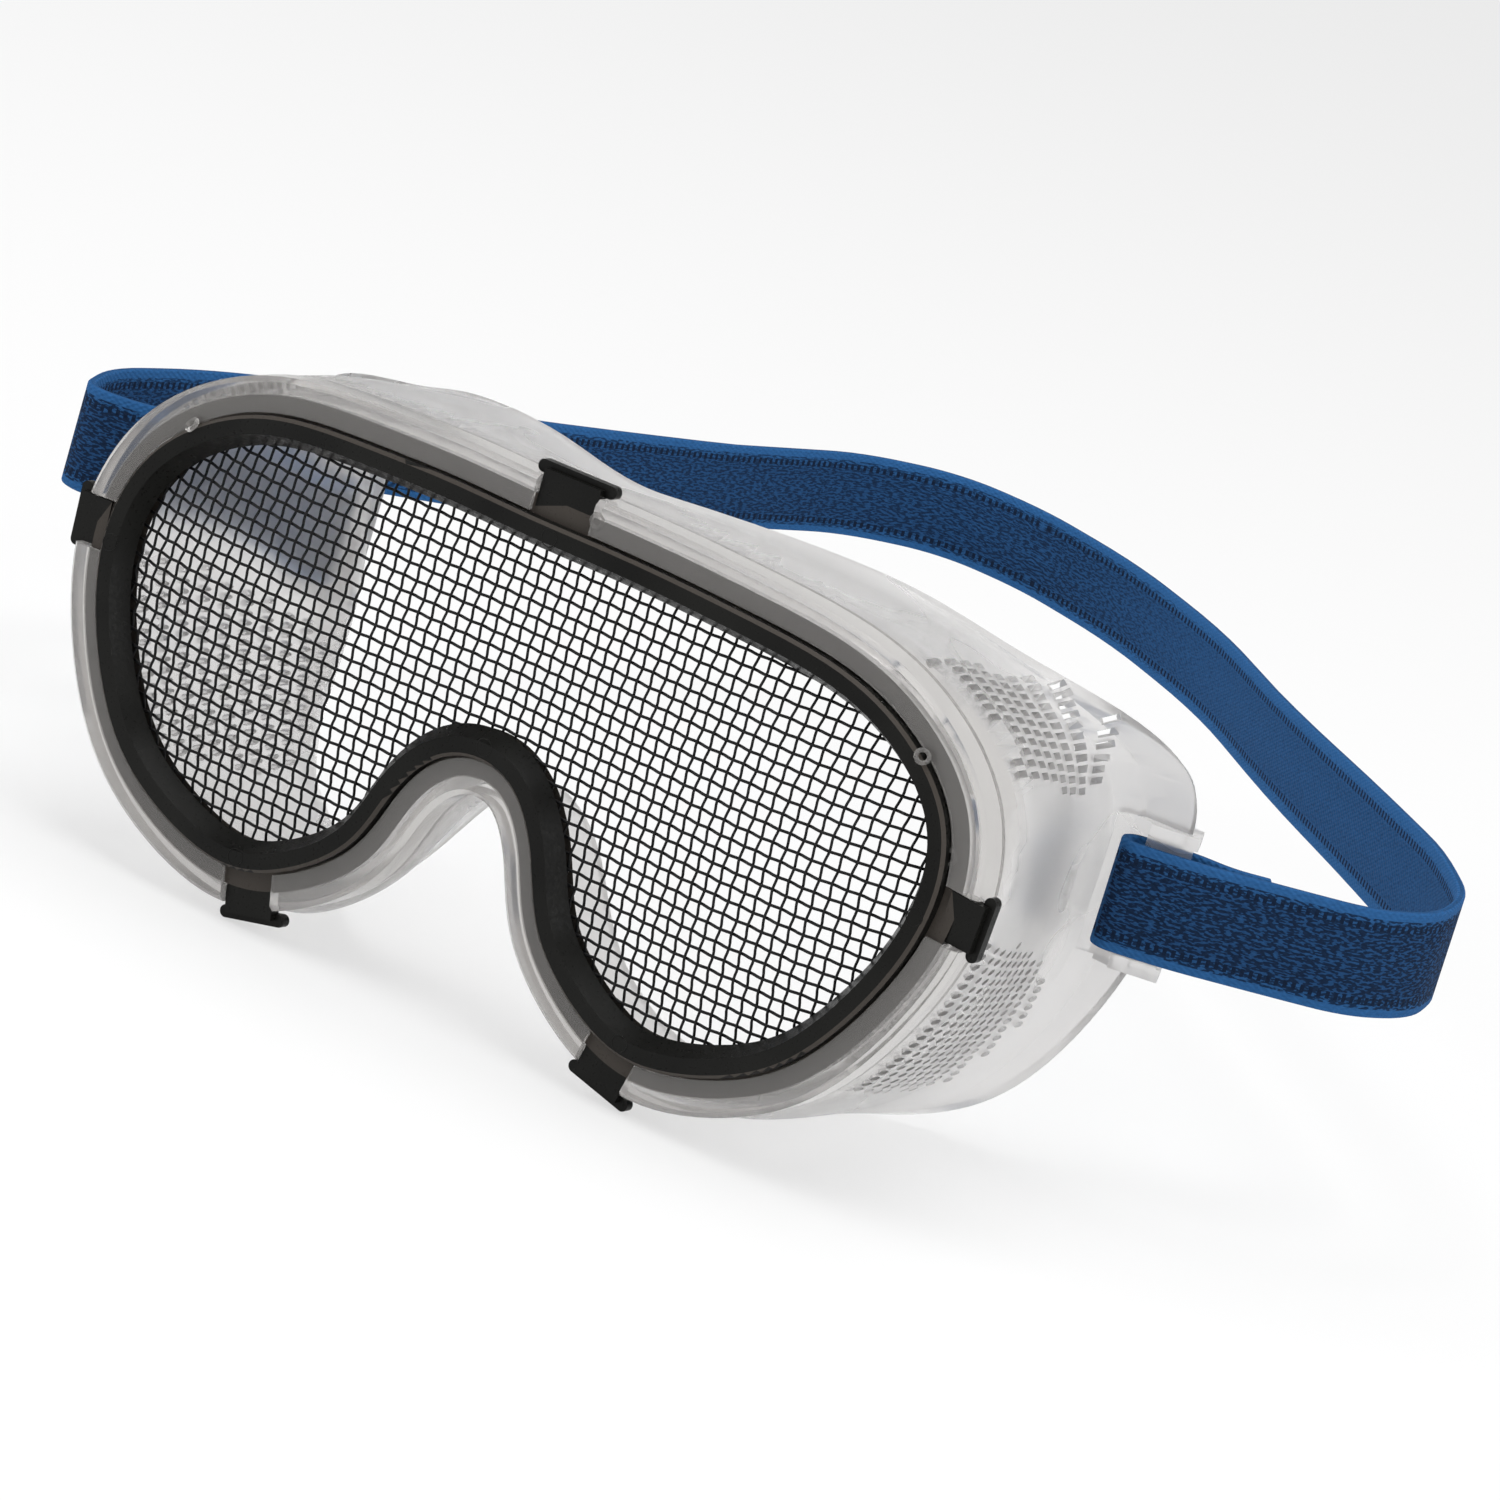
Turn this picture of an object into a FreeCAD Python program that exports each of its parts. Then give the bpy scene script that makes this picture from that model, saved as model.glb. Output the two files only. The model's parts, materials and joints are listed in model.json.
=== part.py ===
import FreeCAD, Part
import math
import os

# Mesh safety goggles, in millimetres
# Wearer looks along -Y, +Z is up, X runs across the face
# Origin: in the symmetry plane, at the brow seal, level with the middle of the wire mesh

doc = FreeCAD.newDocument("mesh_goggles")
sheet = doc.addObject("Spreadsheet::Sheet", "sizes")

# Driving dimensions
SIZES = [
    ("opening_half_width", 70.5),
    ("opening_half_height", 30.0),
    ("dome_depth", 2.4),
    ("dome_place", 45.8),
    ("crown_sweep", 1.0),
    ("upper_sweep", 9.5),
    ("lower_sweep", 3.5),
    ("brow_setback", 26.0),
    ("mesh_pitch", 2.1),
    ("wire_diameter", 0.4),
    ("wire_gap", 0.06),
    ("wire_seat", 1.1),
    ("groove_depth", 1.5),
    ("groove_half_height", 0.96),
    ("ring_slope", 1.7),
    ("ring_width", 4.5),
    ("ring_front", 4.0),
    ("ring_back", 1.3),
    ("ring_edge_round", 0.5),
    ("flange_width", 7.4),
    ("flange_front", 1.8),
    ("flange_back", 0.2),
    ("seat_clearance", 0.15),
    ("lip_edge", 4.9),
    ("lip_front", 2.7),
    ("rim_width", 10.2),
    ("rim_round", 0.8),
    ("rim_back", 3.0),
    ("rim_step", 1.0),
    ("ledge_edge", 5.1),
    ("wall", 1.8),
    ("runs_per_loop", 6),
    ("skirt_levels", 8),
    ("belly", 1.2),
    ("seal_half_width", 81.0),
    ("seal_depth", 62.0),
    ("seal_half_height", 40.0),
    ("rest_level", 40.9),
    ("tab_length", 12.0),
    ("tab_height", 1.9),
    ("tab_neck", 0.72),
    ("tab_front", 0.7),
    ("tab_back", 0.8),
    ("lug_edge_x", 78.2),
    ("lug_edge_y", 62.0),
    ("lug_level", 3.1),
    ("lug_turn", 24.0),
    ("lug_height", 22.4),
    ("lug_front", 7.7),
    ("lug_overhang", 2.3),
    ("lug_ramp_height", 2.6),
    ("lug_crease", 2.7),
    ("lug_pad", 10.5),
    ("ear_thickness", 1.95),
    ("slot_height", 3.6),
    ("bar_thickness", 1.3),
    ("bar_front", 5.2),
    ("bar_back", 1.7),
    ("strap_width", 16.5),
    ("strap_thickness", 1.3),
    ("strap_clearance", 1.15),
    ("fold_lead", 0.5),
    ("tail_gap", 0.5),
    ("tail_bend", 6.2),
    ("tail_reach", 12.0),
    ("tiny_run", 0.001),
    ("strap_half_width", 110.0),
    ("strap_depth", 225.0),
    ("overrun", 5.0),
]
for row, (name, value) in enumerate(SIZES, start=1):
    sheet.set("A%d" % row, name)
    sheet.set("B%d" % row, str(value))
    sheet.setAlias("B%d" % row, name)
doc.recompute()


def size(name):
    return float(sheet.get(name))


# Stations round the goggles, from the top centre down the right side to the nose
# Mesh opening as shares of its half width and half height
OPENING_SHARES = [
    (0.000, 0.996), (0.239, 1.000), (0.467, 0.980), (0.683, 0.926), (0.846, 0.780), (0.962, 0.528),
    (0.996, 0.205), (0.955, -0.177), (0.858, -0.563), (0.733, -0.803), (0.562, -0.934),
    (0.427, -0.872), (0.297, -0.630), (0.231, -0.298), (0.136, -0.007), (0.000, 0.097),
]
# Waist of the skirt, where its wall ends and its flare begins, as shares of the seal sizes
WAIST_SHARES = [
    (0.000, 0.255, 0.965), (0.246, 0.286, 0.992), (0.464, 0.336, 0.971), (0.630, 0.469, 0.888),
    (0.768, 0.593, 0.721), (0.846, 0.705, 0.547), (0.855, 0.831, 0.244), (0.837, 0.862, -0.249),
    (0.795, 0.754, -0.635), (0.702, 0.601, -0.891), (0.531, 0.382, -1.030), (0.353, 0.228, -0.938),
    (0.207, 0.195, -0.675), (0.114, 0.195, -0.385), (0.052, 0.182, -0.231), (0.000, 0.177, -0.187),
]
# Edge that seals on the face, as shares of the seal sizes
SEAL_SHARES = [
    (0.000, 0.413, 0.941), (0.261, 0.462, 0.969), (0.498, 0.527, 0.951), (0.680, 0.653, 0.844),
    (0.881, 0.775, 0.737), (0.997, 0.872, 0.558), (0.982, 0.980, 0.219), (0.935, 0.988, -0.259),
    (0.855, 0.893, -0.694), (0.714, 0.827, -0.953), (0.543, 0.629, -1.031), (0.378, 0.381, -0.929),
    (0.227, 0.283, -0.677), (0.131, 0.283, -0.394), (0.063, 0.273, -0.244), (0.000, 0.268, -0.201),
]


def mirrored(points):
    """Half a loop of points, top centre to nose, closed over the symmetry plane."""
    other = [FreeCAD.Vector(-p.x, p.y, p.z) for p in reversed(points[1:-1])]
    return points + other


def dome_surface(x, z):
    """Depth behind the plane of the mesh's middle: two shallow domes, corners swept back."""
    across = (x / size("dome_place")) ** 2
    domes = size("dome_depth") * (across * across - 2 * across)
    corner = size("upper_sweep") if z > 0 else size("lower_sweep")
    side = (x / size("opening_half_width")) ** 2
    height = (z / size("opening_half_height")) ** 2
    return domes + height * (size("crown_sweep") + corner * side)


# Grid lines of the mesh, as shares of the opening's half width and half height
COLUMN_SHARES = [-1.03, -0.94, -0.80, -0.60, -0.33, 0.0, 0.33, 0.60, 0.80, 0.94, 1.03]
ROW_SHARES = [-1.06, -0.42, 0.12, 0.42, 0.72, 1.06]
grid_columns = [share * size("opening_half_width") for share in COLUMN_SHARES]
grid_rows = [share * size("opening_half_height") for share in ROW_SHARES]


def bay_of(lines, place):
    """Number of the bay between two grid lines that holds a place, and the share across it."""
    number = 0
    while number < len(lines) - 2 and place > lines[number + 1]:
        number += 1
    return number, (place - lines[number]) / (lines[number + 1] - lines[number])


def mesh_depth(x, z):
    """Depth of the mesh: straight along both grid directions, so that wires of both sets fit it."""
    column, right = bay_of(grid_columns, x)
    row, up = bay_of(grid_rows, z)
    depths = []
    for line in (grid_rows[row], grid_rows[row + 1]):
        start = dome_surface(grid_columns[column], line)
        end = dome_surface(grid_columns[column + 1], line)
        depths.append(start + (end - start) * right)
    return depths[0] + (depths[1] - depths[0]) * up


def closed_curve(points):
    curve = Part.BSplineCurve()
    steps = [i for i in range(len(points) + 1)]
    curve.interpolate(Points=points, PeriodicFlag=True, Parameters=steps)
    return curve


half_opening = []
for share_x, share_z in OPENING_SHARES:
    place_x = share_x * size("opening_half_width")
    place_z = share_z * size("opening_half_height")
    half_opening.append(FreeCAD.Vector(place_x, mesh_depth(place_x, place_z), place_z))
opening = mirrored(half_opening)
flat_opening = closed_curve([FreeCAD.Vector(p.x, 0, p.z) for p in opening])


def outward(along):
    """Direction across the rim, away from the mesh and square to the way round it."""
    return FreeCAD.Vector(-along.z, 0, along.x).normalize()


following = opening[1:] + opening[:1]
normals = [outward(following[i] - opening[i - 1]) for i in range(len(opening))]


def rim_points(across, depth):
    """Loop at a distance outward from the opening and a depth behind the mesh."""
    back = FreeCAD.Vector(0, depth - size("brow_setback"), 0)
    return [p + n * across + back for p, n in zip(opening, normals)]


def share_points(shares):
    half = []
    for share_x, share_y, share_z in shares:
        half.append(FreeCAD.Vector(
            share_x * size("seal_half_width"),
            share_y * size("seal_depth") - size("brow_setback"),
            share_z * size("seal_half_height"),
        ))
    return mirrored(half)


def inner_points(loops, index, thickness):
    """Points of a skirt loop moved through the wall, square to the skin."""
    count = len(loops[index])
    before = loops[max(index - 1, 0)]
    after = loops[min(index + 1, len(loops) - 1)]
    moved = []
    for i, point in enumerate(loops[index]):
        around = loops[index][(i + 1) % count] - loops[index][i - 1]
        backward = after[i] - before[i]
        square = around.cross(backward).normalize()
        if square.dot(normals[i]) < 0:
            square = -square
        moved.append(point - square * thickness)
    return moved


def profile_loops(loops, levels):
    """Loops at even levels of the curved profile that runs through four loops."""
    made = []
    for level in range(levels + 1):
        v = 3 * level / levels
        weights = [
            -(v - 1) * (v - 2) * (v - 3) / 6,
            v * (v - 2) * (v - 3) / 2,
            -v * (v - 1) * (v - 3) / 2,
            v * (v - 1) * (v - 2) / 6,
        ]
        made.append([
            p * weights[0] + q * weights[1] + r * weights[2] + w * weights[3]
            for p, q, r, w in zip(*loops)])
    return made


def band_faces(first, second):
    """Ruled faces between two smooth loops, in equal runs either side of the symmetry plane."""
    curves = [closed_curve(first), closed_curve(second)]
    poles = [list(pair) for pair in zip(curves[0].getPoles(), curves[1].getPoles())]
    surface = Part.BSplineSurface()
    surface.buildFromPolesMultsKnots(
        poles, curves[0].getMultiplicities(), [2, 2], curves[0].getKnots(), [0, 1],
        True, False, curves[0].Degree, 1)
    faces = []
    run = len(first) / size("runs_per_loop")
    for i in range(int(size("runs_per_loop"))):
        piece = surface.copy()
        piece.segment(i * run, (i + 1) * run, 0, 1)
        faces.append(piece.toShape())
    return faces


def tube_solid(loops):
    """Closed ring solid whose skin runs through the loops and back to the first."""
    faces = []
    for first, second in zip(loops, loops[1:] + loops[:1]):
        faces += band_faces(first, second)
    shell = Part.makeShell(faces)
    shell.sewShape()
    solid = Part.Solid(Part.Shell(shell.Faces))
    if solid.Volume < 0:
        solid.reverse()
    return solid


def section_loops(section):
    return [rim_points(across, depth) for across, depth in section]


# Clear body: rim channel, skirt and flare
skirt_start = size("rim_width") - size("rim_step")
rim_rear = rim_points(skirt_start, size("rim_back"))
waist = share_points(WAIST_SHARES)
seal = share_points(SEAL_SHARES)
belly = []
for rim_point, waist_point, square in zip(rim_rear, waist, normals):
    belly.append((rim_point + waist_point) * 0.5 + square * size("belly"))
skirt = [rim_rear, belly, waist, seal]
skirt_inner = [inner_points(skirt, i, size("wall")) for i in range(1, len(skirt))]
ledge_rear = rim_points(size("flange_width"), size("rim_back"))

groove_front = -size("flange_front") - size("seat_clearance")
groove_back = size("flange_back") + size("seat_clearance")
groove_edge = size("flange_width") + size("seat_clearance")
rim_section = [
    (size("flange_width"), size("rim_back")),
    (size("ledge_edge"), groove_back),
    (groove_edge, groove_back),
    (groove_edge, groove_front),
    (size("lip_edge"), groove_front),
    (size("lip_edge"), -size("lip_front")),
    (size("rim_width") - size("rim_round"), -size("lip_front")),
    (size("rim_width"), size("rim_round") - size("lip_front")),
    (size("rim_width"), size("rim_back")),
    (skirt_start, size("rim_back")),
]
levels = int(size("skirt_levels"))
outer_skin = profile_loops(skirt, levels)
inner_skin = profile_loops([ledge_rear] + skirt_inner, levels)
body_shell = doc.addObject("Part::Feature", "body_shell")
body_shell.Shape = tube_solid(
    section_loops(rim_section) + outer_skin[1:] + inner_skin[::-1][:-1])

# Black lens frame: ring with its mesh groove, and the flange held in the channel
ring_section = [
    (size("ring_slope"), -size("ring_front")),
    (0, -size("groove_half_height")),
    (size("groove_depth"), -size("groove_half_height")),
    (size("groove_depth"), size("groove_half_height")),
    (size("ring_edge_round"), size("ring_back")),
    (size("ring_width"), size("ring_back")),
    (size("ring_width"), size("flange_back")),
    (size("flange_width"), size("flange_back")),
    (size("flange_width"), -size("flange_front")),
    (size("ring_width"), -size("flange_front")),
    (size("ring_width"), size("ring_edge_round") - size("ring_front")),
    (size("ring_width") - size("ring_edge_round"), -size("ring_front")),
]
ring = doc.addObject("Part::Feature", "ring")
ring.Shape = tube_solid(section_loops(ring_section))


def rim_place(station, across, along, depth):
    """Point by a station: distance out from the opening, distance along it, and depth."""
    middle = flat_opening.value(station)
    square = outward(flat_opening.tangent(station)[0])
    side = FreeCAD.Vector(square.z, 0, -square.x)
    back = mesh_depth(middle.x, middle.z) + depth - size("brow_setback")
    return middle + square * across + side * along + FreeCAD.Vector(0, back, 0)


def rim_block(station, inside, outside, length, front, back):
    """Block on the rim between two distances from the opening."""
    half = length / 2
    corners = [(inside, -half), (outside, -half), (outside, half), (inside, half), (inside, -half)]
    outline = Part.makePolygon([rim_place(station, r, a, front) for r, a in corners])
    return Part.Face(outline).extrude(FreeCAD.Vector(0, back - front, 0))


def rounded_block(station, inside, outside, length, front, back):
    """The same block with round ends, as a moulded tab has."""
    block = rim_block(station, inside, outside, length, front, back)
    upright = []
    for edge in block.Edges:
        along = edge.Vertexes[1].Point - edge.Vertexes[0].Point
        if abs(along.x) + abs(along.z) < abs(along.y):
            upright.append(edge)
    return block.makeFillet((outside - inside) / 2.05, upright)


# Tabs of the frame that hook over the rim: station and share of the tab length
TAB_SHARES = [(0.0, 1.15), (6.03, 0.82), (10.53, 0.95)]
station_count = len(opening)
tab_rows = TAB_SHARES + [(station_count - place, share) for place, share in TAB_SHARES[1:]]
hook_start = size("rim_width") + size("seat_clearance")
tabs = []
gaps = []
for number, (station, share) in enumerate(tab_rows, start=1):
    length = size("tab_length") * share
    hook = rounded_block(
        station, hook_start, hook_start + size("tab_height"), length,
        -size("tab_front"), size("tab_back"))
    neck = rim_block(
        station, size("flange_width") - size("wall"), hook_start + size("tab_height") / 2,
        length * size("tab_neck"), -size("flange_front"), size("flange_back"))
    tab = doc.addObject("Part::Feature", "tab_%d" % number)
    tab.Shape = hook.fuse(neck)
    tabs.append(tab)
    gap = doc.addObject("Part::Feature", "tab_gap_%d" % number)
    gap.Shape = rim_block(
        station, size("lip_edge") - size("wall"), size("rim_width") + size("overrun"),
        length * size("tab_neck") + 4 * size("seat_clearance"),
        -size("lip_front") - size("overrun"), size("flange_back") + size("seat_clearance"))
    gaps.append(gap)

lens_frame = doc.addObject("Part::Feature", "lens_frame")
framed = ring.Shape
for tab in tabs:
    framed = framed.fuse(tab.Shape)
lens_frame.Shape = framed

# Lug for the strap: flat pad in the flare, two ramped ears and the bar between them
turn = math.radians(size("lug_turn"))
lug_along = FreeCAD.Vector(math.cos(turn), math.sin(turn), 0)
lug_square = FreeCAD.Vector(math.sin(turn), -math.cos(turn), 0)
lug_edge = FreeCAD.Vector(size("lug_edge_x"), size("lug_edge_y") - size("brow_setback"), 0)
lug_proud = size("slot_height") + size("bar_thickness")


def lug_place(along, proud, level):
    return lug_edge + lug_along * along + lug_square * proud + FreeCAD.Vector(0, 0, level)


def lug_block(profile, low, high):
    outline = Part.makePolygon([lug_place(a, p, low) for a, p in profile + profile[:1]])
    return Part.Face(outline).extrude(FreeCAD.Vector(0, 0, high - low))


lug_low = size("lug_level") - size("lug_height") / 2
lug_high = size("lug_level") + size("lug_height") / 2
pad_profile = [(-size("lug_pad"), 0), (-size("lug_pad"), -size("wall")), (0, -size("wall")), (0, 0)]
ear_profile = [
    (-size("lug_front"), -size("wall") / 2),
    (-size("lug_front"), size("lug_ramp_height")),
    (-size("lug_crease"), lug_proud),
    (size("lug_overhang"), lug_proud),
    (size("lug_overhang"), 0),
    (0, -size("wall") / 2),
]
bar_profile = [
    (-size("bar_front"), size("slot_height")),
    (-size("bar_front"), lug_proud),
    (size("bar_back"), lug_proud),
    (size("bar_back"), size("slot_height")),
]
clear_profile = [
    (-size("lug_pad"), 0),
    (size("overrun"), 0),
    (size("overrun"), size("overrun")),
    (-size("lug_pad"), size("overrun")),
]
ear = size("ear_thickness")
lug_pieces = [
    lug_block(pad_profile, lug_low, lug_high),
    lug_block(ear_profile, lug_low, lug_low + ear),
    lug_block(ear_profile, lug_high - ear, lug_high),
    lug_block(bar_profile, lug_low, lug_high),
]
lug_right = doc.addObject("Part::Feature", "lug_right")
lug_right.Shape = lug_pieces[0].multiFuse(lug_pieces[1:])
room_right = doc.addObject("Part::Feature", "room_right")
room_right.Shape = lug_block(clear_profile, lug_low, lug_high)
mirrors = {}
for source in (lug_right, room_right):
    mirror = doc.addObject("Part::Mirroring", source.Name.replace("right", "left"))
    mirror.Source = source
    mirror.Normal = FreeCAD.Vector(1, 0, 0)
    mirrors[source.Name] = mirror

# Room under the rest level, so that the goggles stand on small flats
floor_room = doc.addObject("Part::Box", "floor_room")
floor_room.setExpression("Length", "sizes.seal_half_width * 2")
floor_room.setExpression("Width", "sizes.seal_depth * 2")
floor_room.setExpression("Height", "sizes.overrun")
floor_room.setExpression("Placement.Base.x", "-sizes.seal_half_width")
floor_room.setExpression("Placement.Base.y", "-sizes.seal_depth")
floor_room.setExpression("Placement.Base.z", "-sizes.rest_level - sizes.overrun")

body_room = doc.addObject("Part::MultiFuse", "body_room")
body_room.Shapes = [room_right, mirrors["room_right"], floor_room] + gaps
trimmed = doc.addObject("Part::Cut", "trimmed")
trimmed.Base = body_shell
trimmed.Tool = body_room
goggle_body = doc.addObject("Part::MultiFuse", "goggle_body")
goggle_body.Shapes = [trimmed, lug_right, mirrors["lug_right"]]


# Wire mesh: straight wires in two layers, cut to the opening and seated in the groove
def boundary(across):
    """The opening, moved outward, as close points in (x, z) for cutting the wires to length."""
    steps = 12
    places = []
    for i in range(station_count * steps):
        station = i / steps
        low = int(station)
        blend = station - low
        square = normals[low] * (1 - blend) + normals[(low + 1) % station_count] * blend
        point = flat_opening.value(station) + square.normalize() * across
        places.append((point.x, point.z))
    return places


def crossings(places, level, axis):
    """Sorted places where a line at a level crosses the boundary."""
    found = []
    for start, end in zip(places, places[1:] + places[:1]):
        if (start[axis] >= level) != (end[axis] >= level):
            share = (level - start[axis]) / (end[axis] - start[axis])
            found.append(start[1 - axis] + share * (end[1 - axis] - start[1 - axis]))
    return sorted(found)


edge_places = boundary(0)
seat_places = boundary(size("wire_seat"))


def wire(level, axis, seat_low, seat_high, layer):
    """Wire of square section along one segment, bent where it crosses the grid lines."""
    half = size("wire_diameter") / 2
    lines = grid_rows if axis == 0 else grid_columns
    stops = [seat_low] + [line for line in lines if seat_low < line < seat_high] + [seat_high]
    sections = []
    for place in stops:
        corners = []
        for aside, back in ((-half, -half), (half, -half), (half, half), (-half, half), (-half, -half)):
            x, z = (level + aside, place) if axis == 0 else (place, level + aside)
            corners.append(FreeCAD.Vector(
                x, mesh_depth(x, z) + layer + back - size("brow_setback"), z))
        sections.append(Part.makePolygon(corners))
    return Part.makeLoft(sections, True, True)


def wires(axis, first, layer, reach):
    solids = []
    count = int(2 * reach / size("mesh_pitch")) + 2
    for i in range(-count // 2, count // 2 + 1):
        level = first + i * size("mesh_pitch")
        seats = crossings(seat_places, level, axis)
        edges = crossings(edge_places, level, axis)
        if len(seats) != len(edges):
            continue
        for k in range(0, len(seats), 2):
            if edges[k + 1] - edges[k] > size("mesh_pitch"):
                solids.append(wire(level, axis, seats[k], seats[k + 1], layer))
    return Part.makeCompound(solids)


layer_offset = size("wire_diameter") / 2 + size("wire_gap") / 2
mesh_warp = doc.addObject("Part::Feature", "mesh_warp_wires")
mesh_warp.Shape = wires(0, 0, -layer_offset, size("opening_half_width"))
mesh_weft = doc.addObject("Part::Feature", "mesh_weft_wires")
mesh_weft.Shape = wires(1, size("mesh_pitch") / 2, layer_offset, size("opening_half_height"))

# Head strap: one band, folded round the bar of each lug, its tails lying inside
band = size("strap_thickness")
run_inside = size("slot_height") - size("strap_clearance") - band / 2
run_outside = lug_proud + size("strap_clearance") + band / 2
fold_radius = (run_outside - run_inside) / 2
fold_middle = (run_outside + run_inside) / 2
fold_along = -size("bar_front") - size("fold_lead")

# Free run of the strap from the right lug round the back to the left lug, in (x, depth) shares
STRAP_SHARES = [
    (0.868, 0.293), (0.959, 0.327), (0.995, 0.382), (0.959, 0.451), (0.836, 0.529), (0.614, 0.631),
    (0.377, 0.733), (0.073, 0.878), (-0.191, 0.964), (-0.409, 1.004), (-0.564, 1.004),
    (-0.673, 0.942), (-0.727, 0.827), (-0.791, 0.698), (-0.855, 0.582), (-1.009, 0.462),
    (-1.086, 0.356), (-1.109, 0.262), (-1.055, 0.198), (-0.973, 0.209), (-0.873, 0.271),
]


def mirror_place(point):
    return FreeCAD.Vector(-point.x, point.y, point.z)


def lug_corners(next_corner, flip):
    """Corners of the band at a lug, from the end of its tail to the outside run."""
    front = fold_along - fold_radius
    run = [
        lug_place(size("lug_overhang"), run_inside, 0),
        lug_place(front, run_inside, 0),
        lug_place(front, run_outside, 0),
        lug_place(size("lug_overhang"), run_outside, 0),
    ]
    if flip:
        run = [mirror_place(p) for p in run]
    along = (next_corner - run[-1]).normalize()
    inward = FreeCAD.Vector(-along.y, along.x, 0) * (-1 if flip else 1)
    beside = run[-1] + inward * (band + size("tail_gap"))
    return [beside + along * size("tail_reach"), beside + along * size("tail_bend")] + run


free_run = []
for share_x, share_y in STRAP_SHARES:
    free_run.append(FreeCAD.Vector(
        share_x * size("strap_half_width"), share_y * size("strap_depth") - size("brow_setback"), 0))
corners = lug_corners(free_run[0], False) + free_run + lug_corners(free_run[-1], True)[::-1]
fold_corners = (3, 4, len(corners) - 4, len(corners) - 5)


def band_runs():
    """Start and end of each bend of the band's centre, with the centre and radius of its arc."""
    bends = []
    for i in range(1, len(corners) - 1):
        before = (corners[i] - corners[i - 1]).normalize()
        after = (corners[i + 1] - corners[i]).normalize()
        half_turn = math.acos(max(-1.0, min(1.0, before.dot(after)))) / 2
        shorter = min((corners[i] - corners[i - 1]).Length, (corners[i + 1] - corners[i]).Length)
        radius = fold_radius if i in fold_corners else 0.45 * shorter / math.tan(half_turn)
        reach = radius * math.tan(half_turn)
        inward = (after - before).normalize()
        middle = corners[i] + inward * (radius / math.cos(half_turn))
        bends.append((corners[i] - before * reach, corners[i] + after * reach, middle, radius, inward))
    return bends


bends = band_runs()


def band_side(offset):
    """Edges along one side of the band: straight runs joined by tangent arcs."""
    edges = []
    along = (corners[1] - corners[0]).normalize()
    last = corners[0] + FreeCAD.Vector(along.y, -along.x, 0) * offset
    start_place = last
    for start, end, middle, radius, inward in bends:
        places = []
        toward = (start - middle).normalize()
        travel = FreeCAD.Vector(-toward.y, toward.x, 0)
        turn_sign = 1 if travel.dot(end - start) > 0 else -1
        reach = radius + turn_sign * offset
        for spoke in (start - middle, -inward, end - middle):
            places.append(middle + FreeCAD.Vector(spoke).normalize() * reach)
        if (places[0] - last).Length > size("tiny_run"):
            edges.append(Part.LineSegment(last, places[0]).toShape())
        edges.append(Part.Arc(*places).toShape())
        last = places[2]
    along = (corners[-1] - corners[-2]).normalize()
    end_place = corners[-1] + FreeCAD.Vector(along.y, -along.x, 0) * offset
    edges.append(Part.LineSegment(last, end_place).toShape())
    return edges, start_place, end_place


side_one, start_one, end_one = band_side(band / 2)
side_two, start_two, end_two = band_side(-band / 2)
caps = [Part.LineSegment(start_one, start_two).toShape(), Part.LineSegment(end_one, end_two).toShape()]
outline = Part.Wire(Part.sortEdges(side_one + side_two + caps)[0])
strap_outline = doc.addObject("Part::Feature", "strap_outline")
strap_outline.Shape = Part.Face(outline)
head_strap = doc.addObject("Part::Extrusion", "head_strap")
head_strap.Base = strap_outline
head_strap.DirMode = "Custom"
head_strap.Dir = FreeCAD.Vector(0, 0, 1)
head_strap.Solid = True
head_strap.setExpression("LengthFwd", "sizes.strap_width / 2 + sizes.lug_level")
head_strap.setExpression("LengthRev", "sizes.strap_width / 2 - sizes.lug_level")

doc.recompute()
print("strap length", round(head_strap.Shape.Volume / size("strap_width") / band))

# Every object is checked before any file is written
for item in doc.Objects:
    if "Invalid" in item.State or "Error" in item.State:
        raise RuntimeError("%s did not recompute: %s" % (item.Name, item.State))
SUBPARTS = [goggle_body, lens_frame, mesh_warp, mesh_weft, head_strap]
for part in SUBPARTS:
    part.Label = part.Name
    if part.Shape.isNull() or not part.Shape.isValid():
        raise RuntimeError("%s has no valid shape" % part.Label)
    print(part.Label, len(part.Shape.Solids), "solids", round(part.Shape.Volume), "cubic mm")

os.makedirs("parts", exist_ok=True)
for part in SUBPARTS:
    part.Shape.exportStep("parts/%s.step" % part.Label)
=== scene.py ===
# %% [markdown]
# # Mesh safety goggles
# Goggles for dusty or lively work: a soft see-through body seals on the face, a black frame
# holds a woven wire mesh in place of a lens, and a blue elastic strap goes round the head.
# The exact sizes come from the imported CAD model, which is loaded first and never changed.
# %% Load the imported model
import bmesh
import bpy
import json
import math
from mathutils import Matrix, Vector
from mathutils.bvhtree import BVHTree
from mathutils.kdtree import KDTree

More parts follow.
